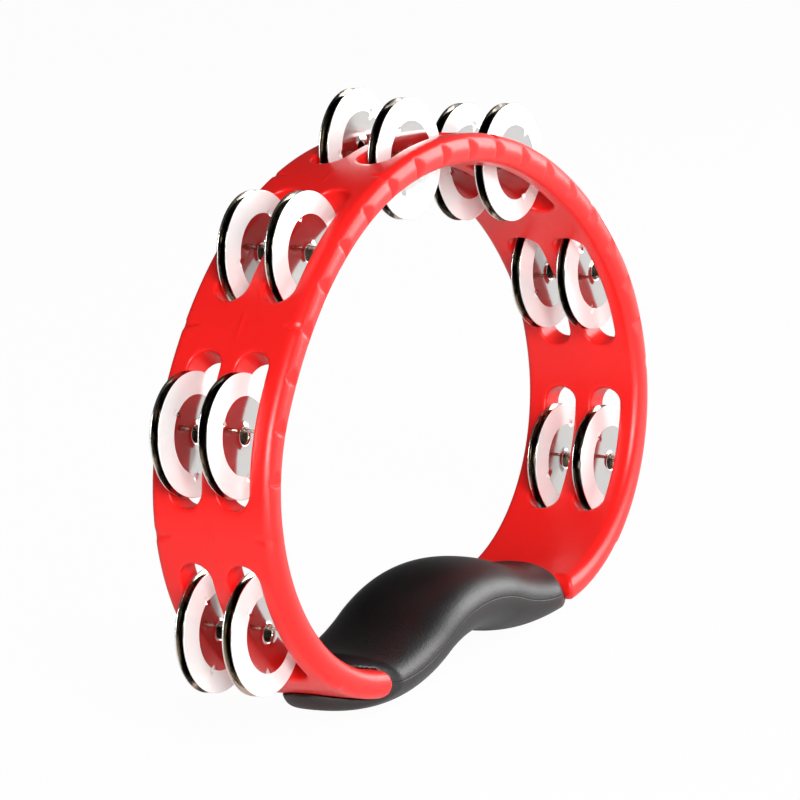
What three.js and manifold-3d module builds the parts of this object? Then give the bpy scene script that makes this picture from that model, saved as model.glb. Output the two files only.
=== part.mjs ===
// Hand-held tambourine: a moulded plastic ring with a soft grip over its lower bar, seven stations
// of two slots each, and in every slot a pair of loose steel jingles threaded on a wire pin.
// Millimetres. +Z is up through the middle station, +Y is the ring's axis, towards the rear rim.
import * as THREE from 'three';
import { mergeVertices } from 'three/addons/utils/BufferGeometryUtils.js';
import Module from 'manifold-3d';

const wasm = await Module();
wasm.setup();

// Ring outline, seen from the front: arcs of the outer surface, each side of the top centre.
const TOP_RADIUS = 140;
const TOP_HALF_ANGLE = THREE.MathUtils.degToRad(58.2);
const CORNER_RADIUS = 75.6;
const ARCH_ANGLE = THREE.MathUtils.degToRad(24); // how far the corner turns past the horizontal

// Ring band
const RING_WIDTH = 48;
const WALL = 10.2;
const RIM_ROUND = 3;

// Jingle stations
const STATION_NAMES = ['a', 'b', 'c', 'd', 'e', 'f', 'g']; // clockwise from the lower left
const LAST_STATION_HEADING = THREE.MathUtils.degToRad(119.5);
const DIVIDER = 6.5; // bar of the band between a station's two slots
const SLOT_BEVEL = 1.2;
const SLOT_SIDE_PLAY = 3.6; // free space beside a pair of jingles
const SLOT_END_PLAY = 6.2; // free space beyond a jingle's edge, at the wall's mid-depth

// Jingles
const JINGLE_RADIUS = 21.3;
const JINGLE_HOLE_RADIUS = 2.7;
const JINGLE_SHEET = 0.7;
const JINGLE_FLANGE = 5.4; // width of the flat outer band
const JINGLE_DOME = 0.6; // how far the middle stands out from the flange
const PAIR_GAP = 2.9; // between the flanges of a pair
const PAIR_SLIDE = 2; // how far the pairs have slid along their pins, towards the rear rim
// Pairs that stand on their pins instead of hanging, in degrees that they have swung round
const SWUNG_UP = { d_rear: 210, e_front: 180, e_rear: 180, f_front: 180, f_rear: 180 };

// Pins
const PIN_RADIUS = 0.65;
const PIN_CLEARANCE = 0.25; // pin to its bore in the band
const HANG_GAP = 0.12; // pin to the top of the hole of the jingle that hangs on it
const PIN_END_COVER = 2.6; // plastic left in front of a pin's blind end
const PIN_DEPTH = 2.85; // pins run near the outer skin, so that most of a jingle stands outside

// Notches across the front rim
const NOTCH_COUNT = 19;
const NOTCHES_PER_STATION = 4;
const NOTCH_DEPTH = 1.7;
const NOTCH_RAMP = 4.2;
const NOTCH_STEP = 1.8;

// Handle: a core bar that is part of the ring, and the soft grip over it
const CORE_WIDTH = 35;
const CORE_INSET = 0.3; // its ends under the band's skins
const CORE_LAP = 12; // how far it runs into the band
const GRIP_WIDTH = 47.4;
const GRIP_HALF_LENGTH = 66; // along its front and rear edges
const GRIP_NOSE_OUT = 22; // how far each rounded end reaches beyond its edges, on the underside
const GRIP_NOSE_IN = 5; // the same on the side towards the ring's centre
const GRIP_LIP_IN = 1.2; // grip over the band's inner skin at its ends
const GRIP_LIP_OUT = 4.8; // the same under its outer skin
const GRIP_SWELL_IN = 6.8; // extra thickness at mid-length, towards the ring's centre
const GRIP_SWELL_OUT = 6.5; // extra thickness at mid-length, away from it
const GRIP_SQUARENESS = 2.2; // exponent of the section's superellipse
const GRIP_CLEARANCE = 0.3;

// Mesh fineness
const BAND_STEP = 12;
const JINGLE_SEGMENTS = 20;
const PIN_SEGMENTS = 12;
const GRIP_SEGMENTS = 18;
const GRIP_RINGS = 25;

// What follows from those sizes
const CORNER_CENTRE_X = (TOP_RADIUS - CORNER_RADIUS) * Math.sin(TOP_HALF_ANGLE);
const CORNER_CENTRE_Z = (TOP_RADIUS - CORNER_RADIUS) * Math.cos(TOP_HALF_ANGLE);
const ARCH_RADIUS = CORNER_CENTRE_X / Math.sin(ARCH_ANGLE) - CORNER_RADIUS;
const TOP_LENGTH = TOP_RADIUS * TOP_HALF_ANGLE;
const CORNER_LENGTH = CORNER_RADIUS * (Math.PI + ARCH_ANGLE - TOP_HALF_ANGLE);
const HALF_LENGTH = TOP_LENGTH + CORNER_LENGTH + ARCH_RADIUS * ARCH_ANGLE;

const MIDDLE_STATION = (STATION_NAMES.length - 1) / 2;
const STATION_PITCH =
  (TOP_LENGTH + CORNER_RADIUS * (LAST_STATION_HEADING - TOP_HALF_ANGLE)) / MIDDLE_STATION;
const NOTCH_PITCH = STATION_PITCH / NOTCHES_PER_STATION;

const HANG_DROP = JINGLE_HOLE_RADIUS * Math.cos(Math.PI / JINGLE_SEGMENTS) - PIN_RADIUS - HANG_GAP;
const FLANGE_OFFSET = PAIR_GAP / 2 + JINGLE_SHEET; // slot centre to a flange's outer face
const SLOT_WIDTH = 2 * (FLANGE_OFFSET + JINGLE_DOME + SLOT_SIDE_PLAY);
const SLOT_LENGTH = 2 * (JINGLE_RADIUS + SLOT_END_PLAY);
const ROW_OFFSET = (SLOT_WIDTH + DIVIDER) / 2;

/** The outer surface at a distance along it from the top centre: place and outward heading. */
function outlineAt(distance) {
  const side = Math.sign(distance) || 1;
  const s = Math.abs(distance);
  let heading, x, z;
  if (s < TOP_LENGTH) {
    heading = s / TOP_RADIUS;
    x = TOP_RADIUS * Math.sin(heading);
    z = TOP_RADIUS * Math.cos(heading);
  } else if (s < TOP_LENGTH + CORNER_LENGTH) {
    heading = TOP_HALF_ANGLE + (s - TOP_LENGTH) / CORNER_RADIUS;
    x = CORNER_CENTRE_X + CORNER_RADIUS * Math.sin(heading);
    z = CORNER_CENTRE_Z + CORNER_RADIUS * Math.cos(heading);
  } else {
    heading = Math.PI + (HALF_LENGTH - s) / ARCH_RADIUS;
    const archCentreZ = CORNER_CENTRE_Z - (CORNER_RADIUS + ARCH_RADIUS) * Math.cos(ARCH_ANGLE);
    x = -ARCH_RADIUS * Math.sin(heading);
    z = archCentreZ - ARCH_RADIUS * Math.cos(heading);
  }
  return { x: side * x, z, normalX: side * Math.sin(heading), normalZ: Math.cos(heading) };
}

/** A point of the band: distance along the outline, place across the width, depth under the skin. */
function onRing(distance, y, depth) {
  const at = outlineAt(distance);
  return new THREE.Vector3(at.x - depth * at.normalX, y, at.z - depth * at.normalZ);
}

/** A point of the handle, by its signed distance from the handle's middle towards +X. */
function onHandle(fromMiddle, y, depth) {
  const side = fromMiddle < 0 ? -1 : 1;
  return onRing(side * (HALF_LENGTH - Math.abs(fromMiddle)), y, depth);
}

/** A closed skin over rings of equally many points, with a fan over each end. */
function loft(rings) {
  const count = rings[0].length;
  const points = rings.flat();
  const ends = [rings[0], rings.at(-1)].map((ring) =>
    ring.reduce((sum, p) => sum.add(p), new THREE.Vector3()).divideScalar(count)
  );
  const last = (rings.length - 1) * count;
  const index = [];
  for (let i = 0; i < count; i++) {
    const j = (i + 1) % count;
    for (let base = 0; base < last; base += count) {
      index.push(base + i, base + j, base + count + j, base + i, base + count + j, base + count + i);
    }
    index.push(points.length, j, i, points.length + 1, last + i, last + j);
  }
  return new THREE.BufferGeometry().setFromPoints([...points, ...ends]).setIndex(index);
}

/** A three.js geometry as a solid, turned right side out if its faces point inwards. */
function solid(geometry) {
  const bare = geometry.clone();
  bare.deleteAttribute('normal');
  bare.deleteAttribute('uv');
  const merged = mergeVertices(bare, 1e-4);
  const triVerts = Uint32Array.from(merged.index.array);
  const vertProperties = Float32Array.from(merged.attributes.position.array);
  if (signedVolume(vertProperties, triVerts) < 0) triVerts.reverse();
  return new wasm.Manifold(new wasm.Mesh({ numProp: 3, vertProperties, triVerts }));
}

function signedVolume(positions, triangles) {
  const corner = [0, 1, 2].map(() => new THREE.Vector3());
  let volume = 0;
  for (let i = 0; i < triangles.length; i += 3) {
    corner.forEach((v, k) => v.fromArray(positions, 3 * triangles[i + k]));
    volume += corner[0].dot(corner[1].cross(corner[2])) / 6;
  }
  return volume;
}

function geometryOf(manifold) {
  const { vertProperties, triVerts } = manifold.getMesh();
  const geometry = new THREE.BufferGeometry();
  geometry.setAttribute('position', new THREE.BufferAttribute(vertProperties, 3));
  geometry.setIndex(new THREE.BufferAttribute(triVerts, 1));
  geometry.computeVertexNormals();
  return geometry;
}

/** Evenly spaced numbers from first to last, no further apart than step. */
function spread(first, last, step) {
  const count = Math.ceil(Math.abs(last - first) / step);
  return Array.from({ length: count + 1 }, (_, i) => first + ((last - first) * i) / count);
}

/** Outline of a rectangle with rounded corners, centred: x across the width, y along the depth. */
function roundedSection(width, depth, radius) {
  const [w, d] = [width / 2 - radius, depth / 2 - radius];
  const outline = new THREE.Path();
  outline.absarc(w, d, radius, 0, Math.PI / 2);
  outline.absarc(-w, d, radius, Math.PI / 2, Math.PI);
  outline.absarc(-w, -d, radius, Math.PI, 1.5 * Math.PI);
  outline.absarc(w, -d, radius, 1.5 * Math.PI, 2 * Math.PI);
  return outline.getPoints(1);
}

/** How far the grip's end lies from the handle's middle, at a place across the width. */
function gripReach(y, nose) {
  return GRIP_HALF_LENGTH + nose * Math.max(0, 1 - (2 * y / GRIP_WIDTH) ** 2);
}

/** 1 at the handle's middle, 0 at the grip's ends, smooth between. */
function swell(fraction) {
  return (1 + Math.cos(Math.PI * Math.min(1, Math.abs(fraction)))) / 2;
}

/** The band from one handle end over the top to the other; grown by a clearance all round. */
function band(grow = 0) {
  const end = HALF_LENGTH - GRIP_HALF_LENGTH + grow;
  const rings = spread(-end, end, BAND_STEP).map((s) => {
    const section = roundedSection(RING_WIDTH + 2 * grow, WALL + 2 * grow, RIM_ROUND + grow);
    return section.map((p) => onRing(s, p.x, WALL / 2 - p.y));
  });
  return solid(loft(rings));
}

/** The handle's core bar, lapping into the band at both ends; grown by a clearance all round. */
function core(grow = 0) {
  const end = GRIP_HALF_LENGTH + CORE_LAP;
  const thickness = WALL - 2 * CORE_INSET;
  const section = roundedSection(CORE_WIDTH + 2 * grow, thickness + 2 * grow, RIM_ROUND + grow);
  const rings = spread(-end, end, BAND_STEP).map((d) =>
    section.map((p) => onHandle(d, p.x, WALL / 2 - p.y))
  );
  return solid(loft(rings));
}

/** The grip's outer form, before the handle is taken out of it. */
function gripForm() {
  const rings = spread(-1, 1, 2 / (GRIP_RINGS - 1)).map((fraction) => {
    const innerDepth = WALL + GRIP_LIP_IN + GRIP_SWELL_IN * swell(fraction);
    const outerDepth = -GRIP_LIP_OUT - GRIP_SWELL_OUT * swell(fraction);
    const middle = (innerDepth + outerDepth) / 2;
    return Array.from({ length: GRIP_SEGMENTS }, (_, i) => {
      const angle = ((i + 0.5) / GRIP_SEGMENTS) * 2 * Math.PI;
      const y = (GRIP_WIDTH / 2) * squared(Math.cos(angle));
      const depth = middle + (innerDepth - middle) * squared(Math.sin(angle));
      const nose = Math.sin(angle) > 0 ? GRIP_NOSE_IN : GRIP_NOSE_OUT;
      return onHandle(fraction * gripReach(y, nose), y, depth);
    });
  });
  return solid(loft(rings));
}

/** A sine or cosine pushed outwards, which turns an ellipse into a superellipse. */
function squared(value) {
  return Math.sign(value) * Math.abs(value) ** (2 / GRIP_SQUARENESS);
}

/** Cutter for one slot: a stadium through the wall, flared to bevel its edges on both skins. */
function slotCutter(station, rowY) {
  const lead = 1;
  const overrun = SLOT_LENGTH / 4; // clears the curve of the skin from end to end of the slot
  const levels = [
    { under: -overrun, offset: SLOT_BEVEL + lead },
    { under: -lead, offset: SLOT_BEVEL + lead },
    { under: SLOT_BEVEL, offset: 0 },
  ];
  const ring = ({ under, offset }, fromInside) =>
    stadium(SLOT_LENGTH + 2 * offset, SLOT_WIDTH + 2 * offset).map((p) => {
      const depth = fromInside ? WALL - under : under;
      return onRing(station + p.x, rowY + p.y, depth);
    });
  const outer = levels.map((level) => ring(level, false));
  const inner = levels.map((level) => ring(level, true)).reverse();
  return solid(loft([...outer, ...inner]));
}

/** Outline of a slot with half-round ends, its straight sides divided so that they can be bent. */
function stadium(length, width) {
  const radius = width / 2;
  const straight = length / 2 - radius;
  const arcSteps = 6;
  const end = spread(-Math.PI / 2, Math.PI / 2, Math.PI / arcSteps).map(
    (a) => new THREE.Vector2(straight + radius * Math.cos(a), radius * Math.sin(a))
  );
  const side = [0.5, 0, -0.5].map((share) => new THREE.Vector2(share * straight, radius));
  const half = [...end, ...side];
  return [...half, ...half.map((p) => p.clone().negate())];
}

/** Cutter for one pin's bore, open at the rear rim and blind in front. */
function boreCutter(station) {
  const bore = PIN_RADIUS + PIN_CLEARANCE;
  const front = -RING_WIDTH / 2 + PIN_END_COVER;
  return pinSolid(station, bore, front, RING_WIDTH / 2 + 1);
}

function pinSolid(station, radius, front, rear) {
  const cylinder = new THREE.CylinderGeometry(radius, radius, rear - front, PIN_SEGMENTS);
  const at = onRing(station, (front + rear) / 2, PIN_DEPTH);
  return solid(cylinder.translate(at.x, at.y, at.z));
}

/** Cutter for one notch: a ramp along the front rim that ends at a short steep step. */
function notchCutter(distance) {
  const overrun = 1;
  const widen = (NOTCH_DEPTH + overrun) / NOTCH_DEPTH;
  const profile = [
    [-NOTCH_STEP * widen, -overrun],
    [0, NOTCH_DEPTH],
    [NOTCH_RAMP * widen, -overrun],
  ];
  const depths = [-overrun, WALL + overrun];
  const rings = depths.map((depth) =>
    profile.map(([along, into]) => onRing(distance + along, into - RING_WIDTH / 2, depth))
  );
  return solid(loft(rings));
}

function stationDistances() {
  return STATION_NAMES.map((_, i) => (i - MIDDLE_STATION) * STATION_PITCH);
}

function notchDistances() {
  return Array.from({ length: NOTCH_COUNT }, (_, i) => (i - (NOTCH_COUNT - 1) / 2) * NOTCH_PITCH);
}

function frameGeometry() {
  const cutters = [
    ...stationDistances().flatMap((s) => [slotCutter(s, -ROW_OFFSET), slotCutter(s, ROW_OFFSET)]),
    ...stationDistances().map(boreCutter),
    ...notchDistances().map(notchCutter),
  ];
  return geometryOf(cutters.reduce((ring, cutter) => ring.subtract(cutter), band().add(core())));
}

function gripGeometry() {
  return geometryOf(gripForm().subtract(band(GRIP_CLEARANCE)).subtract(core(GRIP_CLEARANCE)));
}

/** Turned sheet-metal disc on the Y axis, its outside towards -Y, the flange's outside at y = 0. */
function jingleGeometry() {
  const flangeEdge = JINGLE_RADIUS - JINGLE_FLANGE;
  const profile = [
    [JINGLE_HOLE_RADIUS, -JINGLE_DOME],
    [flangeEdge, 0],
    [JINGLE_RADIUS, 0],
    [JINGLE_RADIUS, JINGLE_SHEET],
    [flangeEdge, JINGLE_SHEET],
    [JINGLE_HOLE_RADIUS, JINGLE_SHEET - JINGLE_DOME],
    [JINGLE_HOLE_RADIUS, -JINGLE_DOME],
  ].map(([r, y]) => new THREE.Vector2(r, y));
  return geometryOf(solid(new THREE.LatheGeometry(profile, JINGLE_SEGMENTS)));
}

/** Round wire along Y, centred on its own middle. */
function pinGeometry() {
  const length = RING_WIDTH - PIN_END_COVER - 2 * PIN_CLEARANCE;
  return new THREE.CylinderGeometry(PIN_RADIUS, PIN_RADIUS, length, PIN_SEGMENTS);
}

const plastic = new THREE.MeshStandardMaterial({ color: 0xe8191c, roughness: 0.38, metalness: 0 });
const rubber = new THREE.MeshStandardMaterial({ color: 0x141416, roughness: 0.6, metalness: 0 });
const jingleSteel = new THREE.MeshStandardMaterial({ color: 0xd9d7d2, roughness: 0.1, metalness: 1 });
const pinSteel = new THREE.MeshStandardMaterial({ color: 0xb9b19f, roughness: 0.3, metalness: 1 });

function named(name, geometry, material, position = new THREE.Vector3()) {
  const mesh = new THREE.Mesh(geometry, material);
  mesh.name = name;
  mesh.position.copy(position);
  return mesh;
}

/** The four jingles of a station: a pair in each row, numbered from the front rim. */
function stationJingles(name, station, geometry) {
  const jingles = [];
  for (const [row, rowY] of [['front', -ROW_OFFSET], ['rear', ROW_OFFSET]]) {
    const swung = THREE.MathUtils.degToRad(SWUNG_UP[`${name}_${row}`] ?? 0);
    for (const [number, facing] of [[1, -1], [2, 1]]) {
      const at = onRing(station, rowY + PAIR_SLIDE + facing * FLANGE_OFFSET, PIN_DEPTH);
      at.x += HANG_DROP * Math.sin(swung);
      at.z -= HANG_DROP * Math.cos(swung);
      const jingle = named(`jingle_${name}_${row}_${number}`, geometry, jingleSteel, at);
      jingle.rotation.z = facing < 0 ? 0 : Math.PI;
      jingles.push(jingle);
    }
  }
  return jingles;
}

const tambourine = new THREE.Group();
tambourine.add(named('frame', frameGeometry(), plastic));
const grip = named('grip', gripGeometry(), rubber);
tambourine.add(grip);

const jingleShape = jingleGeometry();
const pinShape = pinGeometry();
const pinMiddle = PIN_END_COVER / 2;
stationDistances().forEach((station, i) => {
  const name = STATION_NAMES[i];
  tambourine.add(named(`pin_${name}`, pinShape, pinSteel, onRing(station, pinMiddle, PIN_DEPTH)));
  tambourine.add(...stationJingles(name, station, jingleShape));
});

// The grip's underside is what the tambourine stands on: it is lifted to z = 0.
grip.geometry.computeBoundingBox();
tambourine.position.z = -grip.geometry.boundingBox.min.z;

export default tambourine;
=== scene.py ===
"""Finished look of a hand-held tambourine: moulded ring, soft grip, pins and jingles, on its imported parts."""

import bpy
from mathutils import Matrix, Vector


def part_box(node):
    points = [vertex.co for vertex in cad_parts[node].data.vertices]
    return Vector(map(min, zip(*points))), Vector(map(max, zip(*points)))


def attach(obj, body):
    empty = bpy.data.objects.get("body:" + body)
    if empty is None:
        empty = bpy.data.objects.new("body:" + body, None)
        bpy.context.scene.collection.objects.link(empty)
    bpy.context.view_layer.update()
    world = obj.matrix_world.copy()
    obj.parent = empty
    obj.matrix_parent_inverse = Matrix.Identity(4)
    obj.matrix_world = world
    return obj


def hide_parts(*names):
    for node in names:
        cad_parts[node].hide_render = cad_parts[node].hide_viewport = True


bl_info = {
    "name": "Tambourine",
    "version": (1, 0, 0),
    "blender": (4, 5, 0),
    "location": "3D View > Sidebar > Tambourine",
    "description": "Builds a hand-held tambourine with loose jingles and a small studio round it",
    "category": "Add Mesh",
}

import math

import bpy
import numpy as np
from mathutils import Matrix, Vector

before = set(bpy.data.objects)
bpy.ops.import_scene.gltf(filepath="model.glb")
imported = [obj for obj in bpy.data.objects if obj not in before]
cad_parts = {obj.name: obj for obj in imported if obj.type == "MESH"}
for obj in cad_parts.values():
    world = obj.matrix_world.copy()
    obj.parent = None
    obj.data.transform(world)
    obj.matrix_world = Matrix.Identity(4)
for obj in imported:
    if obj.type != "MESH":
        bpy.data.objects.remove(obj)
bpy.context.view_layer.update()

MM = 0.001
STATIONS = "abcdefg"  # clockwise from the lower left, seen from the front
ROWS = ("front", "rear")
MIDDLE_STATION = (len(STATIONS) - 1) / 2
BORE = 0.9 * MM
PIN_COVER = 2.6 * MM  # plastic left in front of a pin's blind end
NOTCH_EDGE = 0.3 * MM  # softness of the notches' edges
TONGUE_ROUND = 5.0 * MM
TONGUE_EDGE = 0.6 * MM  # softness of the tongues' edges
PAD_REACH = 7.5 * MM  # from a slot's end to the edge of its pad
PAD_BOW = 4.5 * MM  # how far that edge bows out in its middle
MARK_HEIGHT = 0.22 * MM  # of the mould's parting marks
SLEEVE_GAP = 0.12 * MM  # between the sleeve and the plastic under it
REAR_BOW_SHARE = 0.3  # bow of the rear rim, as a share of the front one's
FACE, EDGE, BACK, FLANGE = range(4)  # places of a jingle's materials in its mesh
TO_LIGHT = (0.84, -0.54, 0.0)  # level direction towards the bright side of the studio


def length(name, description, default, **limits):
    """A length that the user can change, in metres."""
    return bpy.props.FloatProperty(
        name=name, description=description, default=default, min=0.0, unit="LENGTH", precision=5, **limits
    )


def angle(name, description, degrees):
    return bpy.props.FloatProperty(
        name=name, description=description, default=math.radians(degrees), subtype="ANGLE"
    )


def colour(name, description, default):
    return bpy.props.FloatVectorProperty(
        name=name, description=description, default=default, size=3, min=0.0, max=1.0, subtype="COLOR"
    )


def part(name, description, default):
    """A share between 0 and 1."""
    return bpy.props.FloatProperty(
        name=name, description=description, default=default, min=0.0, max=1.0, subtype="FACTOR"
    )


class RingSettings(bpy.types.PropertyGroup):
    """Sizes and colour of the moulded ring."""

    top_radius: length("Top radius", "Outer radius of the long arc over the top", 0.140)
    top_angle: angle("Top angle", "How far that arc runs to each side of the top", 58.2)
    corner_radius: length("Corner radius", "Outer radius of the two lower corners", 0.0756)
    arch_angle: angle("Arch angle", "How far each corner turns past the level, into the handle's arch", 24.0)
    width: length("Width", "Width of the band along the ring's axis", 0.048)
    wall: length("Wall", "Thickness of the band", 0.0102)
    pin_depth: length("Pin depth", "Depth of the pins under the outer skin", 0.00285)
    rim_round: length("Rim rounding", "Radius of the rims' edges", 0.0022)
    rim_bow: length("Rim bow", "How far the rims' middles stand out past their rounded edges", 0.0020)
    crown: length("Crown", "How far the band bulges outwards over the top", 0.0015)
    slot_length: length("Slot length", "Length of a jingle slot along the band", 0.0552)
    slot_width: length("Slot width", "Width of a jingle slot", 0.0127)
    slot_round: length("Slot edge", "Softness of a slot's edges", 0.0011)
    divider: length("Divider", "Bar of the band between a station's two slots", 0.0065)
    pad: length("Pad", "How far the band stands out round each station", 0.0005)
    notches: bpy.props.IntProperty(
        name="Notches", description="Notches across the front rim", default=19, min=0
    )
    notch_depth: length("Notch depth", "Depth of a notch", 0.0011)
    notch_ramp: length("Notch ramp", "Length of a notch's long side", 0.0054)
    notch_step: length("Notch step", "Length of its short side", 0.0005)
    notch_share: bpy.props.IntProperty(
        name="Notches per station", description="Notches from one station to the next", default=4, min=1
    )
    colour: colour("Colour", "Colour of the plastic", (0.86, 0.011, 0.009))
    roughness: part("Roughness", "Roughness of the plastic", 0.34)


class GripSettings(bpy.types.PropertyGroup):
    """Sizes and colour of the soft grip."""

    width: length("Width", "Width along the ring's axis", 0.0474)
    half_length: length("Half length", "From the grip's middle to an end, along the edges", 0.0645)
    nose_in: length("Inner nose", "How far the rounded end runs on, on the ring's inside", 0.009)
    nose_out: length("Outer nose", "How far it runs on, on the underside", 0.022)
    lip_in: length("Inner lip", "Thickness over the ring's inner skin at the ends", 0.0042)
    lip_out: length("Outer lip", "Thickness under the ring's outer skin at the ends", 0.0048)
    swell_in: length("Inner swell", "Extra thickness at mid-length, inwards", 0.0039)
    swell_out: length("Outer swell", "Extra thickness at mid-length, outwards", 0.0040)
    squareness: bpy.props.FloatProperty(
        name="Squareness", description="Exponent of the section at mid-length", default=2.2, min=1.0
    )
    end_squareness: bpy.props.FloatProperty(
        name="End squareness", description="Exponent of the section at the ends", default=2.25, min=1.0
    )
    end_round: length("End rounding", "Radius of the ends, seen from the front", 0.0080)
    shift: length("Shift", "How far the grip sits to the left of the handle's middle", 0.0045)
    core_width: length("Core width", "Width of the bar inside the grip", 0.035)
    core_inset: length("Core inset", "How far that bar lies under the ring's skins", 0.0003)
    core_lap: length("Core lap", "How far that bar runs into the ring", 0.012)
    colour: colour("Colour", "Colour of the rubber", (0.0030, 0.0030, 0.0034))
    roughness: part("Roughness", "Roughness of the rubber", 0.44)


class JingleSettings(bpy.types.PropertyGroup):
    """Sizes and colour of the jingles and pins."""

    radius: length("Radius", "Radius of a jingle", 0.0213)
    hole: length("Hole", "Radius of its hole", 0.0027)
    collar: length("Collar", "Outer radius of the rolled collar round the hole", 0.0039)
    sheet: length("Sheet", "Thickness of the metal", 0.00036)
    flange: length("Flange", "Width of the flared outer band", 0.0078)
    flare: length("Flare", "How far the outer band falls back towards the edge", 0.00085)
    dish: length("Dish", "How far the middle is sunk below the flared band", 0.00025)
    dent: length("Dent", "Depth of the three punched dents", 0.0006)
    dent_size: length("Dent size", "Radius of a dent", 0.0015)
    dent_circle: part("Dent circle", "Radius of the dents' circle, as a share of the jingle's", 0.66)
    tilt: angle("Tilt", "Most that a jingle leans on its pin", 0.9)
    colour: colour("Colour", "Colour of the plated face", (0.67, 0.655, 0.64))
    # this colour is true nickel on the rolled edge, but on the outer band it is painted reflection: near-white
    # paint in place of the mirrored white studio
    flange_colour: colour("Flange colour", "Colour of the satin outer band", (0.90, 0.90, 0.89))
    inner_colour: colour("Inner colour", "Colour of the duller inner face", (0.50, 0.44, 0.36))
    pin_colour: colour("Pin colour", "Colour of the wire", (0.62, 0.56, 0.46))


class StudioSettings(bpy.types.PropertyGroup):
    """Camera, floor and lights."""

    azimuth: angle("Azimuth", "Camera's direction round the object", -57.21)
    elevation: angle("Elevation", "Camera's height above the horizon", 12.456)
    roll: angle("Roll", "Camera's turn about its own axis", -5.725)
    distance: length("Distance", "From the camera to the point it looks at", 1.7792)
    lens: bpy.props.FloatProperty(name="Lens", description="Focal length", default=224.93, unit="CAMERA")
    floor_colour: colour("Floor", "Colour of the floor", (0.94, 0.94, 0.94))
    floor_white: part("Floor white", "How far the floor is lit to plain white; the rest keeps the shadow", 0.97)
    world_light: part("World light", "Strength of the even light", 0.24)
    dark_side: part("Dark side", "Brightness, in reflections, of the air behind the lens", 0.12)
    dark_top: part("Dark top", "Brightness, in reflections, of the air overhead", 0.10)


SETTINGS = {
    "tamb_ring": RingSettings,
    "tamb_grip": GripSettings,
    "tamb_jingle": JingleSettings,
    "tamb_studio": StudioSettings,
}


# Shape of the band


class Outline:
    """The ring's outer surface seen from the front, by its distance from the top centre."""

    def __init__(self, ring):
        self.ring = ring
        r, t, a = ring.corner_radius, ring.top_angle, ring.arch_angle
        self.corner_x = (ring.top_radius - r) * math.sin(t)
        self.corner_z = (ring.top_radius - r) * math.cos(t)
        self.arch_radius = self.corner_x / math.sin(a) - r
        self.arch_z = self.corner_z - (r + self.arch_radius) * math.cos(a)
        self.top = ring.top_radius * t
        self.corner = self.top + r * (math.pi + a - t)
        self.half = self.corner + self.arch_radius * a
        low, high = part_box("pin_d")
        self.lift = (low.z + high.z) / 2 - (ring.top_radius - ring.pin_depth)
        self.stations = self.station_distances()
        self.pitch = self.stations[1] - self.stations[0]

    def station_distances(self):
        """Places of the pins along the outline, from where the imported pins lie."""
        found = []
        samples = np.linspace(-self.half, self.half, 8001)
        line = self.place(samples, 0 * samples, 0 * samples + self.ring.pin_depth)
        for name in STATIONS:
            low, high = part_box("pin_" + name)
            centre = (low + high) / 2
            away = np.hypot(line[:, 0] - centre.x, line[:, 2] - centre.z)
            found.append(float(samples[np.argmin(away)]))
        step = (found[-1] - found[0]) / (len(found) - 1)
        return [(i - MIDDLE_STATION) * step for i in range(len(STATIONS))]

    def skin(self, s):
        """Places and headings of the outer surface at distances s."""
        side = np.where(s < 0, -1.0, 1.0)
        s = np.abs(s)
        r = self.ring
        heading = np.where(
            s < self.top,
            s / r.top_radius,
            np.where(
                s < self.corner,
                r.top_angle + (s - self.top) / r.corner_radius,
                math.pi + (self.half - s) / self.arch_radius,
            ),
        )
        sine, cosine = np.sin(heading), np.cos(heading)
        x = np.where(
            s < self.top,
            r.top_radius * sine,
            np.where(s < self.corner, self.corner_x + r.corner_radius * sine, -self.arch_radius * sine),
        )
        z = np.where(
            s < self.top,
            r.top_radius * cosine,
            np.where(
                s < self.corner, self.corner_z + r.corner_radius * cosine, self.arch_z - self.arch_radius * cosine
            ),
        )
        return side * x, z + self.lift, side * sine, cosine

    def crown(self, s):
        """How far the band bulges past the plain outline at distances s."""
        return self.ring.crown * smooth_step(s, -0.135, -0.035) * (1 - smooth_step(s, 0.115, 0.185))

    def place(self, s, y, depth):
        """Points of the band by distance, place across the width and depth under the outer skin."""
        x, z, nx, nz = self.skin(s)
        return np.stack([x - depth * nx, y, z - depth * nz], axis=-1)


def smooth_step(value, low, high):
    t = np.clip((value - low) / (high - low), 0, 1)
    return t * t * (3 - 2 * t)


def soft_max(a, b, soft):
    """The larger of two fields, with the edge between them rounded."""
    h = np.clip(0.5 + 0.5 * (a - b) / soft, 0, 1)
    return b * (1 - h) + a * h + soft * h * (1 - h)


def rounded(across, deep, radius):
    """Field of a corner of that radius, from the distances past its two sides."""
    p, q = across + radius, deep + radius
    return np.hypot(np.maximum(p, 0), np.maximum(q, 0)) + np.minimum(np.maximum(p, q), 0) - radius


def nearest_station(s, outline):
    """Signed distance along the band from the nearest station."""
    index = np.clip(np.round(s / outline.pitch), -MIDDLE_STATION, MIDDLE_STATION)
    return s - index * outline.pitch


def slot_field(along, y, ring):
    """Field of the two slots of a station."""
    straight = (ring.slot_length - ring.slot_width) / 2
    offset = (ring.slot_width + ring.divider) / 2
    across = np.abs(np.abs(y) - offset)
    return np.hypot(np.maximum(np.abs(along) - straight, 0), across) - ring.slot_width / 2


def pad_height(along, y, outline):
    """The band stands out a little round a station, up to a bowed edge beyond each end of its slots,
    with a short parting mark of the mould between stations."""
    ring = outline.ring
    reach = ring.slot_length / 2 + PAD_REACH
    bow = PAD_BOW * (1 - (2 * y / ring.width) ** 2)
    past = np.abs(along) - (reach + np.where(along > 0, bow, bow * (1 - 0.35 * np.abs(y) / ring.width)))
    pad = ring.pad * (1 - smooth_step(past, -0.0005, 0.0005))
    between = np.abs(np.abs(along) - outline.pitch / 2)
    mark = (1 - smooth_step(np.abs(y), 0.0001, 0.0005)) * (1 - smooth_step(between, 0.0042, 0.0046))
    return pad + MARK_HEIGHT * mark


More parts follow.
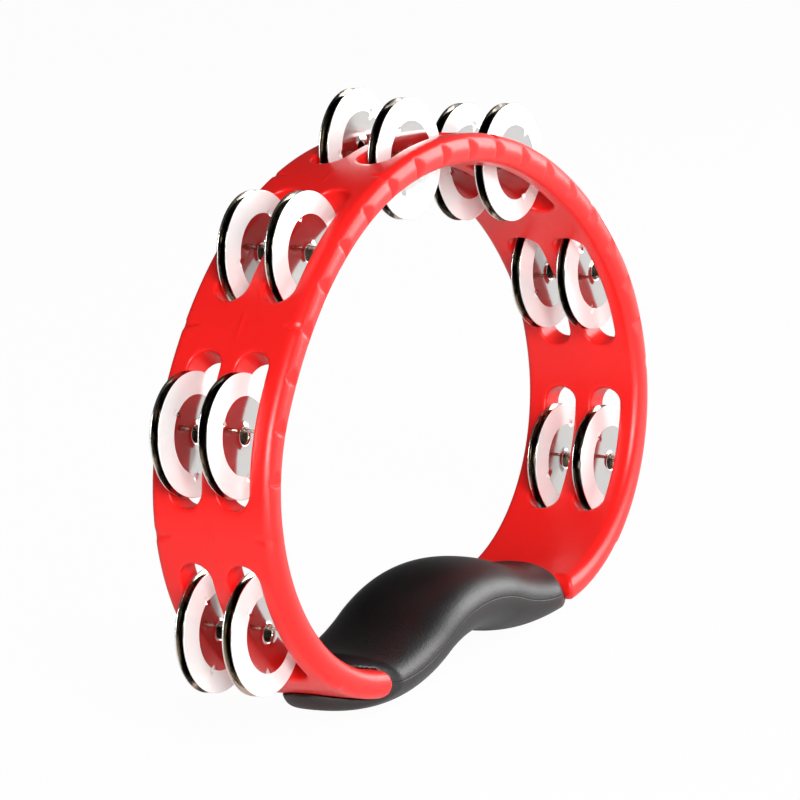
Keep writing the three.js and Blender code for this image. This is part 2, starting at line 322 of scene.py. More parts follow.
def notch_field(s, y, outline):
    """Field of the notches in the front rim."""
    ring = outline.ring
    pitch = outline.pitch / ring.notch_share
    most = (ring.notches - 1) / 2
    index = np.clip(np.round((s - pitch * 0.07) / pitch), -most, most)
    along = s - index * pitch
    into = y + ring.width / 2
    ramp = (into - ring.notch_depth * (1 - along / ring.notch_ramp)) * math.cos(
        math.atan(ring.notch_depth / ring.notch_ramp)
    )
    step = (into - ring.notch_depth * (1 + along / ring.notch_step)) * math.cos(
        math.atan(ring.notch_depth / ring.notch_step)
    )
    return np.maximum(ramp, step)


def from_grip_middle(s, outline, grip):
    """Distance along the band from the grip's middle."""
    return np.abs(np.where(s < 0, -1.0, 1.0) * (outline.half - np.abs(s)) + grip.shift)


def band_field(s, y, depth, outline, grip):
    """Field of the ring's band, which ends in a rounded tongue at each side of the grip."""
    ring = outline.ring
    along = nearest_station(s, outline)
    outer = -pad_height(along, y, outline)
    middle, half = (ring.wall + outer) / 2, (ring.wall - outer) / 2
    from_middle = from_grip_middle(s, outline, grip)
    off = np.abs(depth - middle)
    bow = ring.rim_bow * (off / half) ** 2 * np.where(y > 0, REAR_BOW_SHARE, 1.0)
    section = rounded(np.abs(y) + bow - ring.width / 2, off - half, ring.rim_round)
    ends = rounded(grip.half_length - from_middle, off - half, TONGUE_ROUND)
    return soft_max(section, ends, TONGUE_EDGE)


def core_field(s, y, depth, outline, grip):
    ring = outline.ring
    from_middle = from_grip_middle(s, outline, grip)
    middle = ring.wall / 2
    section = rounded(
        np.abs(y) - grip.core_width / 2, np.abs(depth - middle) - (middle - grip.core_inset), ring.rim_round
    )
    return np.maximum(section, from_middle - grip.half_length - grip.core_lap)


def frame_field(s, y, depth, outline, grip):
    """Field of the whole moulded ring with its slots, notches and pin bores."""
    ring = outline.ring
    along = nearest_station(s, outline)
    body = band_field(s, y, depth, outline, grip)
    body = soft_max(body, -slot_field(along, y, ring), ring.slot_round)
    body = soft_max(body, -notch_field(s, y, outline), NOTCH_EDGE)
    bore = np.hypot(along, depth - ring.pin_depth - outline.crown(s)) - BORE
    bore = np.maximum(bore, PIN_COVER - ring.width / 2 - y)
    body = np.maximum(body, -bore)
    return np.minimum(body, core_field(s, y, depth, outline, grip))


def grip_reach(y, inward, grip):
    """Distance from the handle's middle to the grip's end. inward runs from 0 at the underside to 1."""
    nose = grip.nose_out + (grip.nose_in - grip.nose_out) * inward
    return grip.half_length + nose * np.maximum(0, 1 - (2 * y / grip.width) ** 2)


def grip_swell(share):
    return (1 + np.cos(math.pi * np.clip(share, 0, 1))) / 2


def grip_field(u, y, depth, outline, grip):
    """Field of the soft sleeve, by signed distance u from the handle's middle."""
    ring = outline.ring
    s = np.where(u < 0, -1.0, 1.0) * (outline.half - np.abs(u))
    middle = ring.wall / 2
    inward = smooth_step(depth, middle - 0.004, middle + 0.004)
    reach = grip_reach(y, inward, grip)
    away = np.abs(u + grip.shift)
    swell = grip_swell(away / reach)
    inner = ring.wall + grip.lip_in + grip.swell_in * grip_swell((away / reach) ** 2)
    outer = -grip.lip_out - grip.swell_out * swell
    centre, half = (inner + outer) / 2, (inner - outer) / 2
    n = grip.squareness + (grip.end_squareness - grip.squareness) * smooth_step(away / grip.half_length, 0.25, 0.98)
    level = (np.abs(2 * y / grip.width) ** n + np.abs((depth - centre) / half) ** n) ** (1 / n)
    form = (level - 1) * half * 0.8
    form = rounded(form, away - reach, grip.end_round)
    hold = np.minimum(band_field(s, y, depth, outline, grip), core_field(s, y, depth, outline, grip))
    return soft_max(form, SLEEVE_GAP - hold, 0.5 * MM)


# From a field to a mesh


def graded(low, high, spots, fine, coarse, reach):
    """Places from low to high, close together near the spots and wide apart elsewhere."""
    places = [low]
    spots = np.array(spots)
    while places[-1] < high:
        near = np.min(np.abs(spots - places[-1]))
        places.append(places[-1] + fine + (coarse - fine) * float(smooth_step(near, reach, 2.5 * reach)))
    places = np.array(places)
    return low + (places - low) * (high - low) / (places[-1] - low)


def net(field, nodes, wraps=False):
    """Mesh of the surface where a field is zero, with one vertex in each cell of a grid that the
    surface passes through. The first axis may close on itself."""
    counts = [len(line) - 1 for line in nodes]
    values = field(*np.meshgrid(*nodes, indexing="ij"))
    if wraps:
        values[-1] = values[0]
    inside = values < 0

    corner = {}
    for i in (0, 1):
        for j in (0, 1):
            for k in (0, 1):
                corner[i, j, k] = np.s_[
                    i : counts[0] + i, j : counts[1] + j, k : counts[2] + k
                ]
    held = sum(inside[c].astype(np.int8) for c in corner.values())
    mixed = (held > 0) & (held < 8)
    index = np.full(mixed.shape, -1, dtype=np.int64)
    index[mixed] = np.arange(np.count_nonzero(mixed))
    cell_at = np.argwhere(mixed)

    total = np.zeros((len(cell_at), 3))
    hits = np.zeros(len(cell_at))
    for axis in range(3):
        others = [a for a in range(3) if a != axis]
        for b in (0, 1):
            for c in (0, 1):
                start, stop = [0, 0, 0], [0, 0, 0]
                start[others[0]], start[others[1]] = b, c
                stop[:] = start
                stop[axis] = 1
                v0 = values[corner[tuple(start)]][mixed]
                v1 = values[corner[tuple(stop)]][mixed]
                cross = (v0 < 0) != (v1 < 0)
                t = np.where(cross, v0 / np.where(cross, v0 - v1, 1), 0)
                point = np.tile(np.array(start, dtype=float), (len(cell_at), 1))
                point[:, axis] = t
                total += point * cross[:, None]
                hits += cross
    share = total / hits[:, None]
    sizes = np.stack([np.diff(line)[cell_at[:, d]] for d, line in enumerate(nodes)], axis=-1)
    points = np.stack([line[cell_at[:, d]] for d, line in enumerate(nodes)], axis=-1) + share * sizes
    points = settle(field, points, sizes)

    quads = []
    n0 = counts[0]
    for axis in range(3):
        a, b = [(1, 2), (2, 0), (0, 1)][axis]
        grid = [
            np.arange(0 if d == axis or (d == 0 and wraps) else 1, counts[d])
            for d in range(3)
        ]
        g = np.stack(np.meshgrid(*grid, indexing="ij"), axis=-1).reshape(-1, 3)
        end = g.copy()
        end[:, axis] += 1
        in0 = inside[g[:, 0], g[:, 1], g[:, 2]]
        in1 = inside[end[:, 0], end[:, 1], end[:, 2]]
        change = in0 != in1
        g, in0 = g[change], in0[change]
        ring_of = []
        for da, db in ((-1, -1), (0, -1), (0, 0), (-1, 0)):
            c = g.copy()
            c[:, a] += da
            c[:, b] += db
            if wraps:
                c[:, 0] %= n0
            ring_of.append(index[c[:, 0], c[:, 1], c[:, 2]])
        face = np.stack(ring_of, axis=1)
        face[~in0] = face[~in0][:, ::-1]
        quads.append(face)
    faces = np.concatenate(quads)
    return points, faces[np.all(faces >= 0, axis=1)]


def settle(field, points, sizes, rounds=3):
    """Moves points onto the surface, along the field's slope and never far."""
    start = points.copy()
    small = 0.02 * MM
    most = 0.6 * sizes
    for _ in range(rounds):
        value = field(*points.T)
        slope = np.stack(
            [
                (field(*(points + small * e).T) - field(*(points - small * e).T)) / (2 * small)
                for e in np.eye(3)
            ],
            axis=-1,
        )
        size = np.maximum((slope**2).sum(axis=1), 0.05)
        points = points - (value / size)[:, None] * slope
        points = start + np.clip(points - start, -most, most)
    return points


def mesh_object(name, vertices, faces, material, unrolled=None):
    """An object from arrays, smooth, with its faces turned outwards."""
    triangles = np.concatenate([faces[:, :3], faces[:, [0, 2, 3]]]) if faces.shape[1] == 4 else faces
    a, b, c = (vertices[triangles[:, i]] for i in range(3))
    if np.einsum("ij,ij->i", a, np.cross(b, c)).sum() < 0:
        faces = faces[:, ::-1]
    mesh = bpy.data.meshes.new(name)
    mesh.from_pydata(vertices.tolist(), [], faces.tolist())
    mesh.update()
    mesh.polygons.foreach_set("use_smooth", np.ones(len(mesh.polygons), dtype=bool))
    if unrolled is not None:
        layer = mesh.attributes.new("unrolled", "FLOAT_VECTOR", "POINT")
        layer.data.foreach_set("vector", unrolled.astype(np.float32).ravel())
    mesh.materials.append(material)
    piece = bpy.data.objects.new(name, mesh)
    bpy.context.scene.collection.objects.link(piece)
    return piece


def fit_piece(piece, body, node):
    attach(piece, body)
    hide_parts(node)


# Materials


class Shader:
    """Short calls for building a node material."""

    def __init__(self, name):
        self.material = bpy.data.materials.new(name)
        self.material.use_nodes = True
        self.tree = self.material.node_tree
        self.surface = self.tree.nodes["Principled BSDF"]

    def node(self, kind, values=None, **settings):
        made = self.tree.nodes.new(kind)
        for key, value in settings.items():
            setattr(made, key, value)
        for key, value in (values or {}).items():
            if isinstance(value, bpy.types.NodeSocket):
                self.tree.links.new(value, made.inputs[key])
            else:
                made.inputs[key].default_value = value
        return made

    def set(self, **values):
        for key, value in values.items():
            socket = self.surface.inputs[key.replace("_", " ")]
            if isinstance(value, bpy.types.NodeSocket):
                self.tree.links.new(value, socket)
            else:
                socket.default_value = value

    def math(self, operation, a, b=0.0, c=0.0):
        return self.node("ShaderNodeMath", {0: a, 1: b, 2: c}, operation=operation).outputs[0]

    def object_place(self):
        return self.node("ShaderNodeTexCoord").outputs["Object"]

    def unrolled(self):
        found = self.node("ShaderNodeAttribute", attribute_name="unrolled", attribute_type="GEOMETRY")
        split = self.node("ShaderNodeSeparateXYZ", {0: found.outputs["Vector"]})
        return split.outputs["X"], split.outputs["Y"], split.outputs["Z"]

    def noise(self, vector, scale, detail=3.0, roughness=0.55, distortion=0.0):
        return self.node(
            "ShaderNodeTexNoise",
            {"Vector": vector, "Scale": scale, "Detail": detail, "Roughness": roughness, "Distortion": distortion},
        ).outputs["Fac"]

    def ranged(self, value, low, high, new_low, new_high):
        return self.node(
            "ShaderNodeMapRange",
            {"Value": value, "From Min": low, "From Max": high, "To Min": new_low, "To Max": new_high},
        ).outputs["Result"]

    def mixed(self, factor, a, b):
        made = self.node("ShaderNodeMix", data_type="RGBA")
        for socket, value in ((made.inputs[0], factor), (made.inputs[6], a), (made.inputs[7], b)):
            if isinstance(value, bpy.types.NodeSocket):
                self.tree.links.new(value, socket)
            else:
                socket.default_value = value
        return made.outputs[2]

    def bump(self, height, strength, distance, under=None):
        values = {"Height": height, "Strength": strength, "Distance": distance}
        if under is not None:
            values["Normal"] = under
        return self.node("ShaderNodeBump", values).outputs["Normal"]


def shade(rgb, factor):
    return (*[min(1.0, c * factor) for c in rgb], 1.0)


def moulded_plastic(ring):
    """Satin moulded plastic: faint flow marks, orange peel, fine scratch marks in its roughness, and painted shade
    on the notches' cut faces.
    """
    s = Shader("moulded_red_plastic")
    place = s.object_place()
    cloud = s.noise(place, 28.0, 3.0)
    base = s.mixed(cloud, shade(ring.colour, 0.95), shade(ring.colour, 1.04))
    scuffs = s.noise(place, 420.0, 5.0, 0.7, 0.6)
    rough = s.ranged(scuffs, 0.35, 0.75, ring.roughness - 0.05, ring.roughness + 0.09)
    peel = s.noise(place, 700.0, 2.0)
    fine = s.bump(peel, 0.10, 0.00006)
    wave = s.bump(s.noise(place, 60.0, 1.0), 0.12, 0.0004, fine)
    cut = s.node("ShaderNodeAttribute", attribute_name="cut", attribute_type="GEOMETRY").outputs["Fac"]
    # painted shade: the notches' cut faces are painted a darker red, 0.74 of the plastic's colour, and are also
    # made rougher
    base = s.mixed(cut, base, shade(ring.colour, 0.74))
    rough = s.math("ADD", rough, s.math("MULTIPLY", cut, 0.42))
    s.set(Base_Color=base, Roughness=rough, Normal=wave, IOR=1.5)
    s.surface.inputs["Specular IOR Level"].default_value = 0.42
    s.surface.inputs["Coat Weight"].default_value = 0.12
    s.surface.inputs["Coat Roughness"].default_value = 0.22
    return s.material


def soft_rubber(grip, seam_depth):
    """Black rubber with a fine leather grain and one moulded seam along each side."""
    s = Shader("grained_black_rubber")
    place = s.object_place()
    cells = s.node(
        "ShaderNodeTexVoronoi",
        {"Vector": place, "Scale": 1250.0, "Randomness": 1.0},
        feature="F1",
        distance="EUCLIDEAN",
    ).outputs["Distance"]
    broad = s.noise(place, 520.0, 4.0, 0.6)
    grain = s.math("ADD", s.math("MULTIPLY", cells, 0.6), s.math("MULTIPLY", broad, 0.7))
    wear = s.noise(place, 34.0, 4.0)
    base = s.mixed(wear, shade(grip.colour, 0.8), shade(grip.colour, 1.5))
    rough = s.ranged(wear, 0.3, 0.7, grip.roughness - 0.05, grip.roughness + 0.06)
    skin = s.bump(grain, 0.42, 0.00016)
    _, _, depth = s.unrolled()
    off = s.math("ABSOLUTE", s.math("SUBTRACT", depth, seam_depth))
    line = s.ranged(off, 0.00010, 0.00034, 0.0, 1.0)
    seamed = s.bump(line, 0.9, 0.00022, skin)
    s.set(Base_Color=base, Roughness=rough, Normal=seamed, IOR=1.5)
    s.surface.inputs["Specular IOR Level"].default_value = 0.75
    return s.material


def plated_metal(name, rgb, roughness, grain=0.3, painted_shade=0.0, metallic=1.0, wear=1.0):
    """Polished plate with a slight waviness, fine handling marks and, if asked for, dark clouds of painted shade.
    """
    s = Shader(name)
    place = s.object_place()
    smear = s.noise(place, 120.0, 4.0, 0.6)
    tint = s.mixed(smear, shade(rgb, 0.96), shade(rgb, 1.03))
    if painted_shade:
        # painted shade: nearly black clouds standing in for the shade and dim reflections in the narrow gap between
        # paired discs
        clouds = s.ranged(s.noise(place, 105.0, 2.0, 0.5, 0.4), 0.44, 0.56, 0.0, 1.0)
        tint = s.mixed(s.math("MULTIPLY", clouds, painted_shade), tint, shade(rgb, 0.06))
    marks = s.noise(place, 900.0, 3.0, 0.6, 1.5)
    rough = s.ranged(marks, 0.3, 0.8, roughness * (1 - 0.3 * wear), roughness * (1 + 0.6 * wear))
    wave = s.bump(s.noise(place, 85.0, 1.5), grain, 0.00012)
    fine = s.bump(marks, 0.04, 0.00002, wave)
    s.set(Base_Color=tint, Metallic=metallic, Roughness=rough, Normal=fine)
    return s.material


# Jingles and pins


def jingle_profile(jingle, radii):
    """How far the outside of a jingle stands out from its edge, at radii."""
    r, step = jingle.radius, jingle.radius - jingle.flange
    share = np.clip((radii - jingle.collar) / (step - jingle.collar), 0, 1)
    inside = jingle.flare - jingle.dish * (1 - share**2)
    outside = jingle.flare * (1 - np.clip((radii - step) / jingle.flange, 0, 1))
    height = np.where(radii < step, inside, outside)
    roll = np.clip((radii - jingle.hole) / (jingle.collar - jingle.hole), 0, 1)
    rolled = inside + 0.00026 * np.sin(math.pi * roll) - 0.0003 * (1 - roll) ** 2
    height = np.where(radii < jingle.collar, rolled, height)
    edge = np.clip((radii - (r - 0.0003)) / 0.0003, 0, 1)
    return height - 0.00012 * edge**2


def dents(jingle, x, z):
    """Depth of the three punched dents at places on the disc."""
    depth = 0
    for k in range(3):
        a = 2 * math.pi * k / 3
        centre = jingle.radius * jingle.dent_circle * np.array([math.cos(a), math.sin(a)])
        away = ((x - centre[0]) ** 2 + (z - centre[1]) ** 2) / jingle.dent_size**2
        depth = depth + jingle.dent * np.clip(1 - away, 0, 1) ** 1.5
    return depth


def jingle_turns():
    """Directions round a jingle, close together at the dents."""
    third = 2 * math.pi / 3
    one = graded(0, third, [0, third], 0.022, 0.085, 0.10)[:-1]
    return np.concatenate([one, one + third, one + 2 * third])


def jingle_mesh(jingle, name, outer, inner, edge, flange):
    """A pressed disc about the origin on the Y axis, its outside towards -Y, its edge at y = 0."""
    step = jingle.radius - jingle.flange
    last = jingle.radius - 0.00004
    centre = jingle.radius * jingle.dent_circle
    face_radii = np.concatenate(
        [
            np.linspace(jingle.hole, jingle.collar, 6),
            np.linspace(jingle.collar, centre - jingle.dent_size, 6)[1:],
            np.linspace(centre - jingle.dent_size, centre + jingle.dent_size, 9)[1:],
            [step + 0.0003],
            np.linspace(step + 0.0003, jingle.radius - 0.0004, 4)[1:],
            np.linspace(jingle.radius - 0.0004, last, 4)[1:],
        ]
    )
    face_radii = np.unique(np.concatenate([face_radii, [step]]).round(7))
    back_radii = np.unique(
        [jingle.hole, jingle.collar, 0.007, 0.0105, step, step + 0.0003]
        + [centre - jingle.dent_size, centre, centre + jingle.dent_size, last]
    )
    theta = jingle_turns()
    turns = len(theta)

    def ring(radius, thickness, dented=True):
        x, z = radius * np.cos(theta), radius * np.sin(theta)
        y = -jingle_profile(jingle, np.full(turns, radius)) + thickness
        if dented:
            y = y + dents(jingle, x, z)
        return np.stack([x, y, z], axis=-1)

    rim = ring(jingle.radius, 0.5 * jingle.sheet)
    lip = ring(jingle.hole - 0.00006, 0.5 * jingle.sheet)
    front = [ring(r, 0) for r in face_radii]
    back = [ring(r, jingle.sheet) for r in back_radii[::-1]]
    rings = [*front, rim, *back, lip]
    first_back, n = len(front) + 1, len(front)
    vertices = np.concatenate(rings)
    faces, owner = [], []
    count = len(rings)

    def finish(i):
        """Material of the faces between one ring of vertices and the next."""
        if i < n - 1:
            return FLANGE if face_radii[i] > step - 0.01 * MM else FACE
        return BACK if first_back <= i < count - 2 else EDGE

    for i in range(count):
        nxt = (i + 1) % count
        kind = finish(i)
        for j in range(turns):
            k = (j + 1) % turns
            faces.append((i * turns + j, nxt * turns + j, nxt * turns + k, i * turns + k))
            owner.append(kind)
    mesh_holder = mesh_object(name, vertices, np.array(faces), outer)
    mesh = mesh_holder.data
    mesh.materials.append(edge)
    mesh.materials.append(inner)
    mesh.materials.append(flange)
    mesh.polygons.foreach_set("material_index", np.array(owner, dtype=np.int32))
    bpy.data.objects.remove(mesh_holder)
    return mesh


# Operators


class TAMB_OT_ring(bpy.types.Operator):
    """Mould the ring with its slots, notches and pads"""

    bl_idname = "tamb.ring"
    bl_label = "Ring"

    def execute(self, context):
        scene = context.scene
        ring, grip = scene.tamb_ring, scene.tamb_grip
        outline = Outline(ring)
        points, faces = net(
            lambda s, y, w: frame_field(s, y, w, outline, grip), self.grid(ring, grip, outline), wraps=True
        )
        s, y, depth = points.T
        vertices = outline.place(s, y, depth - outline.crown(s))
        piece = mesh_object("ring", vertices, faces, moulded_plastic(ring), points)
        # mask of the notches' cut faces, where the plastic paints a darker red as painted shade
        cut = np.abs(notch_field(s, y, outline)) < 0.1 * MM
        cut = cut * smooth_step(-band_field(s, y, depth, outline, grip), 0.02 * MM, 0.12 * MM)
        layer = piece.data.attributes.new("cut", "FLOAT", "POINT")
        layer.data.foreach_set("value", cut.astype(np.float32))
        fit_piece(piece, "frame", "frame")
        return {"FINISHED"}

    def grid(self, ring, grip, outline):
        """Fine where the notches, the slots' ends and the edges are."""
        pitch = outline.pitch / ring.notch_share
        steps = [pitch * (i - (ring.notches - 1) / 2) for i in range(ring.notches)]
        ramps = [step + ring.notch_ramp * share for step in steps for share in (0.35, 0.8)]
        ends = [
            station + side * (ring.slot_length / 2 - reach)
            for station in outline.stations for side in (-1, 1) for reach in (0, 0.0025, 0.005)
        ]
        tongues = [
            side * (outline.half - grip.half_length - off) - grip.shift
            for side in (-1, 1)
            for off in (0, 0.002, 0.004)
        ]
        along = graded(-outline.half, outline.half, steps + ramps + ends + tongues, 0.62 * MM, 1.8 * MM, 0.9 * MM)
        inner, outer = ring.divider / 2, ring.divider / 2 + ring.slot_width
        edge = ring.width / 2
        spots = [0] + [side * place for side in (-1, 1) for place in (inner, outer, edge, edge - 0.002)]
        over = edge + 0.9 * MM
        across = graded(-over, over, spots, 0.55 * MM, 1.7 * MM, 1.0 * MM)
        skins = [0, 0.0012, ring.wall, ring.wall - 0.0012]
        under = graded(-1.6 * MM, ring.wall + 1.6 * MM, skins, 0.5 * MM, 1.5 * MM, 0.9 * MM)
        return along, across, under


class TAMB_OT_grip(bpy.types.Operator):
    """Mould the soft sleeve over the handle"""

    bl_idname = "tamb.grip"
    bl_label = "Grip"

    def execute(self, context):
        scene = context.scene
        ring, grip = scene.tamb_ring, scene.tamb_grip
        outline = Outline(ring)
        reach = grip.half_length + grip.nose_out + grip.shift + 1.5 * MM
        across, under = grip.width / 2 + 1 * MM, -grip.lip_out - grip.swell_out - 1.2 * MM
        over = ring.wall + grip.lip_in + grip.swell_in + 1.2 * MM
        sides = ((-reach, reach, 1.0 * MM), (-across, across, 0.85 * MM), (under, over, 0.85 * MM))
        points, faces = net(
            lambda u, y, w: grip_field(u, y, w, outline, grip),
            [np.linspace(low, high, round((high - low) / size) + 1) for low, high, size in sides],
        )
        u, y, depth = points.T
        s = np.where(u < 0, -1.0, 1.0) * (outline.half - np.abs(u))
        vertices = outline.place(s, y, depth)
        seam = ring.wall / 2
        piece = mesh_object("grip_sleeve", vertices, faces, soft_rubber(grip, seam), points)
        fit_piece(piece, "frame", "grip")
        return {"FINISHED"}


class TAMB_OT_pins(bpy.types.Operator):
    """Draw the seven wire pins"""

    bl_idname = "tamb.pins"
    bl_label = "Pins"

    def execute(self, context):
        jingle = context.scene.tamb_jingle
        wire = plated_metal("drawn_wire", jingle.pin_colour, 0.26, 0.1)
        for name in STATIONS:
            node = "pin_" + name
            low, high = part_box(node)
            centre, radius, half = (low + high) / 2, (high.x - low.x) / 2, (high.y - low.y) / 2
            ends = [(0.62, -half), (0.9, -half + 0.05 * MM), (1.0, -half + 0.25 * MM)]
            profile = ends + [(r, -y) for r, y in ends[::-1]]
            turns = 32
            theta = np.arange(turns) * 2 * math.pi / turns
            rings = [
                np.stack([r * radius * np.cos(theta), np.full(turns, y), r * radius * np.sin(theta)], axis=-1)
                for r, y in profile
            ]
            vertices = np.concatenate([*rings, [[0, -half, 0]], [[0, half, 0]]]) + np.array(centre)
            faces = []
            for i in range(len(rings) - 1):
                for j in range(turns):
                    k = (j + 1) % turns
                    faces.append((i * turns + j, i * turns + k, (i + 1) * turns + k, (i + 1) * turns + j))
            tip = len(vertices) - 2
            last = (len(rings) - 1) * turns
            for j in range(turns):
                k = (j + 1) % turns
                faces.append((tip, k, j))
                faces.append((tip + 1, last + j, last + k))
            mesh = bpy.data.meshes.new("wire_" + name)
            mesh.from_pydata(vertices.tolist(), [], faces)
            mesh.update()
            mesh.polygons.foreach_set("use_smooth", np.ones(len(mesh.polygons), dtype=bool))
            mesh.materials.append(wire)
            piece = bpy.data.objects.new("wire_" + name, mesh)
            context.scene.collection.objects.link(piece)
            fit_piece(piece, "frame", node)
        return {"FINISHED"}


class TAMB_OT_jingles(bpy.types.Operator):
    """Press the jingles and hang them on their pins"""

    bl_idname = "tamb.jingles"
    bl_label = "Jingles"

    def execute(self, context):
        jingle = context.scene.tamb_jingle
        face = plated_metal("polished_nickel_face", jingle.colour, 0.10, 0.22)
        # the inner faces carry the dark clouds of painted shade at nearly full strength
        inner = plated_metal("dull_nickel_back", jingle.inner_colour, 0.17, 0.6, 0.97)
        edge = plated_metal("rolled_nickel_edge", jingle.flange_colour, 0.14, 0.1)
        # painted reflection: at metallic 0.24 the outer band is mostly near-white paint, standing in for the white
        # studio reflected in the nickel
        reflection_painted = plated_metal("satin_nickel_flange", jingle.flange_colour, 0.23, 0.15, 0.0, 0.24, 0.15)
        shape = jingle_mesh(jingle, "pressed_jingle", face, inner, edge, reflection_painted)
        rng = np.random.default_rng(7)
        for name in STATIONS:
            for row in ROWS:
                for number in (1, 2):
                    node = f"jingle_{name}_{row}_{number}"
                    low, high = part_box(node)
                    centre = (low + high) / 2
                    side = -1 if number == 1 else 1  # the way its outside faces
                    # the disc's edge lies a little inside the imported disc's outer face
                    flange = low.y + 0.0008 if side < 0 else high.y - 0.0008
                    turn = rng.uniform(0, 2 * math.pi)
                    lean = rng.normal(0, 0.4, 2).clip(-1, 1) * jingle.tilt
                    place = (
                        Matrix.Translation((centre.x, flange, centre.z))
                        @ Matrix.Rotation(lean[0], 4, "X")
                        @ Matrix.Rotation(lean[1], 4, "Z")
                        @ (Matrix.Rotation(math.pi, 4, "Z") if side > 0 else Matrix.Identity(4))
                        @ Matrix.Rotation(turn, 4, "Y")
                    )
                    mesh = shape.copy()
                    mesh.name = "disc_" + node[7:]
                    mesh.transform(place)
                    piece = bpy.data.objects.new("disc_" + node[7:], mesh)
                    context.scene.collection.objects.link(piece)
                    fit_piece(piece, node, node)
        return {"FINISHED"}


class TAMB_OT_studio(bpy.types.Operator):
    """Set the floor, the lights and the camera"""

    bl_idname = "tamb.studio"
    bl_label = "Studio"

    def execute(self, context):
        studio = context.scene.tamb_studio
        self.camera(context, studio)
        self.floor(context, studio)
        self.world(context, studio)
        self.lamps(context)
        context.scene.view_settings.view_transform = "Standard"
        return {"FINISHED"}

    def camera(self, context, studio):
        data = bpy.data.cameras.new("camera")
        data.lens, data.sensor_width = studio.lens, 36.0
        data.clip_start, data.clip_end = 0.05, 30.0
        camera = bpy.data.objects.new("camera", data)
        context.scene.collection.objects.link(camera)
        a, e = studio.azimuth, studio.elevation
        back = Vector((math.sin(a) * math.cos(e), -math.cos(a) * math.cos(e), math.sin(e)))
        level = back.cross(Vector((0, 0, -1))).normalized()
        above = back.cross(level)
        right = level * math.cos(studio.roll) + above * math.sin(studio.roll)
        up = back.cross(right)
        look_at = Vector((0.0066, 0.0086, Outline(context.scene.tamb_ring).lift + 0.0463))
        camera.matrix_world = Matrix.Translation(look_at + back * studio.distance) @ Matrix(
            (right, up, back)
        ).transposed().to_4x4()
        context.scene.camera = camera

    def floor(self, context, studio):
        """A wide pale floor."""
        s = Shader("pale_floor")
        s.set(Base_Color=(*studio.floor_colour, 1.0), Roughness=0.7)
        grain = s.noise(s.object_place(), 300.0, 3.0)
        s.set(Normal=s.bump(grain, 0.05, 0.0002))
        path = s.node("ShaderNodeLightPath")
        away = s.node(
            "ShaderNodeVectorMath", {0: s.object_place(), 1: TO_LIGHT}, operation="DOT_PRODUCT"
        ).outputs["Value"]
        mirrored = s.ranged(away, 0.12, 0.34, studio.dark_side, 1.0)
        seen = s.math("MAXIMUM", path.outputs["Is Camera Ray"], path.outputs["Is Transmission Ray"])
        seen = s.math("MULTIPLY", seen, studio.floor_white)
        seen = s.math("MAXIMUM", seen, s.math("MULTIPLY", path.outputs["Is Glossy Ray"], mirrored))
        bright = s.node("ShaderNodeEmission", {"Color": (1, 1, 1, 1), "Strength": 1.0}).outputs[0]
        mix = s.node("ShaderNodeMixShader", {0: seen, 1: s.surface.outputs[0], 2: bright})
        out = s.tree.nodes["Material Output"]
        s.tree.links.new(mix.outputs[0], out.inputs["Surface"])
        turns, radii = 64, (0.15, 0.4, 1.0, 3.0, 8.0)
        theta = np.arange(turns) * 2 * math.pi / turns
        vertices = [(0, 0, 0)] + [(r * math.cos(t), r * math.sin(t), 0) for r in radii for t in theta]
        faces = [(0, 1 + j, 1 + (j + 1) % turns) for j in range(turns)]
        for i in range(len(radii) - 1):
            for j in range(turns):
                k = (j + 1) % turns
                near, far = 1 + i * turns, 1 + (i + 1) * turns
                faces.append((near + j, far + j, far + k, near + k))
        mesh = bpy.data.meshes.new("floor")
        mesh.from_pydata(vertices, [], faces)
        mesh.update()
        mesh.materials.append(s.material)
        floor = bpy.data.objects.new("floor", mesh)
        context.scene.collection.objects.link(floor)

    def world(self, context, studio):
        """Even white air to the eye; in reflections it is dark overhead and on the side of the lens."""
        world = bpy.data.worlds.new("studio_air")
        world.use_nodes = True
        tree = world.node_tree

        def node(kind, values, **settings):
            made = tree.nodes.new(kind)
            for key, value in settings.items():
                setattr(made, key, value)
            for key, value in values.items():
                if isinstance(value, bpy.types.NodeSocket):
                    tree.links.new(value, made.inputs[key])
                else:
                    made.inputs[key].default_value = value
            return made

        def ramp(value, low, high, first, last):
            values = {"Value": value, "From Min": low, "From Max": high, "To Min": first, "To Max": last}
            return node("ShaderNodeMapRange", values).outputs["Result"]

        background = tree.nodes["Background"]
        background.inputs["Color"].default_value = (1, 1, 1, 1)
        path = node("ShaderNodeLightPath", {})
        towards = node("ShaderNodeTexCoord", {}).outputs["Generated"]
        away = node("ShaderNodeVectorMath", {0: towards, 1: TO_LIGHT}, operation="DOT_PRODUCT").outputs["Value"]
        height = node("ShaderNodeSeparateXYZ", {0: towards}).outputs["Z"]
        side = ramp(away, 0.40, 0.80, studio.dark_side, 1.0)
        above = ramp(height, 0.2, 0.5, 1.0, studio.dark_top)
        mirrored = node("ShaderNodeMath", {0: side, 1: above}, operation="MULTIPLY").outputs[0]
        direct = {0: path.outputs["Is Camera Ray"], 1: path.outputs["Is Transmission Ray"]}
        white = node("ShaderNodeMath", direct, operation="MAXIMUM").outputs[0]
        by_ray = {0: path.outputs["Is Glossy Ray"], 2: studio.world_light, 3: mirrored}
        glossy = node("ShaderNodeMix", by_ray).outputs[0]
        strength = node("ShaderNodeMix", {0: white, 2: glossy, 3: 1.0}).outputs[0]
        tree.links.new(strength, background.inputs["Strength"])
        context.scene.world = world

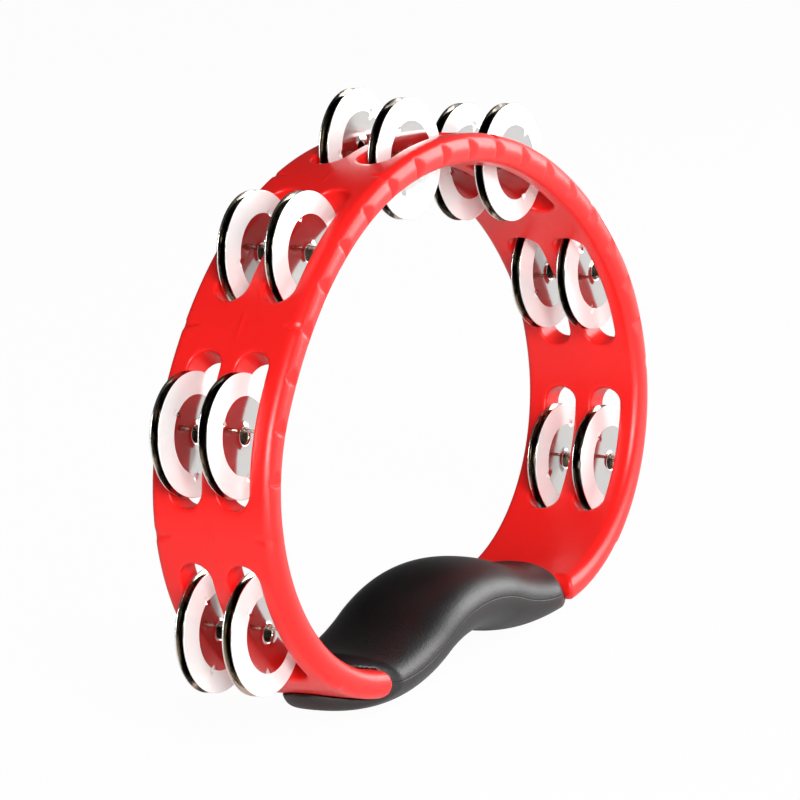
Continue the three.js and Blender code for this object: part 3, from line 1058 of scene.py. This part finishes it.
    def lamps(self, context):
        aim = Vector((0, 0, 0.11))
        for name, place, size, power in (
            ("key_light", (-1.35, -1.35, 0.95), (0.9, 0.9), 43.0),
            ("right_panel", (1.12, -0.80, 0.22), (0.9, 1.2), 20.0),
            ("low_front_light", (-0.75, -1.50, 0.12), (0.45, 0.45), 5.0),
        ):
            data = bpy.data.lights.new(name, "AREA")
            data.shape = "RECTANGLE"
            data.size, data.size_y = size
            data.energy = power
            lamp = bpy.data.objects.new(name, data)
            lamp.location = place
            lamp.visible_camera = False
            lamp.rotation_mode = "QUATERNION"
            lamp.rotation_quaternion = (Vector(place) - aim).to_track_quat("Z", "Y")
            context.scene.collection.objects.link(lamp)


class TAMB_PT_panel(bpy.types.Panel):
    """Lists the tambourine's settings and steps"""

    bl_label = "Tambourine"
    bl_idname = "TAMB_PT_panel"
    bl_space_type = "VIEW_3D"
    bl_region_type = "UI"
    bl_category = "Tambourine"

    def draw(self, context):
        layout = self.layout
        for group, operators in PANEL_ROWS:
            settings = getattr(context.scene, group)
            box = layout.box()
            for key in settings.__annotations__:
                box.prop(settings, key)
            for operator in operators:
                box.operator(operator.bl_idname)


PANEL_ROWS = (
    ("tamb_studio", (TAMB_OT_studio,)),
    ("tamb_ring", (TAMB_OT_ring,)),
    ("tamb_grip", (TAMB_OT_grip,)),
    ("tamb_jingle", (TAMB_OT_pins, TAMB_OT_jingles)),
)
CLASSES = (
    *SETTINGS.values(),
    TAMB_OT_studio,
    TAMB_OT_ring,
    TAMB_OT_grip,
    TAMB_OT_pins,
    TAMB_OT_jingles,
    TAMB_PT_panel,
)


def register():
    for cls in CLASSES:
        bpy.utils.register_class(cls)
    for name, group in SETTINGS.items():
        setattr(bpy.types.Scene, name, bpy.props.PointerProperty(type=group))


def unregister():
    for name in SETTINGS:
        delattr(bpy.types.Scene, name)
    for cls in reversed(CLASSES):
        bpy.utils.unregister_class(cls)


def main():
    register()
    bpy.ops.tamb.studio()
    bpy.ops.tamb.ring()
    bpy.ops.tamb.grip()
    bpy.ops.tamb.pins()
    bpy.ops.tamb.jingles()


if __name__ == "__main__":
    main()
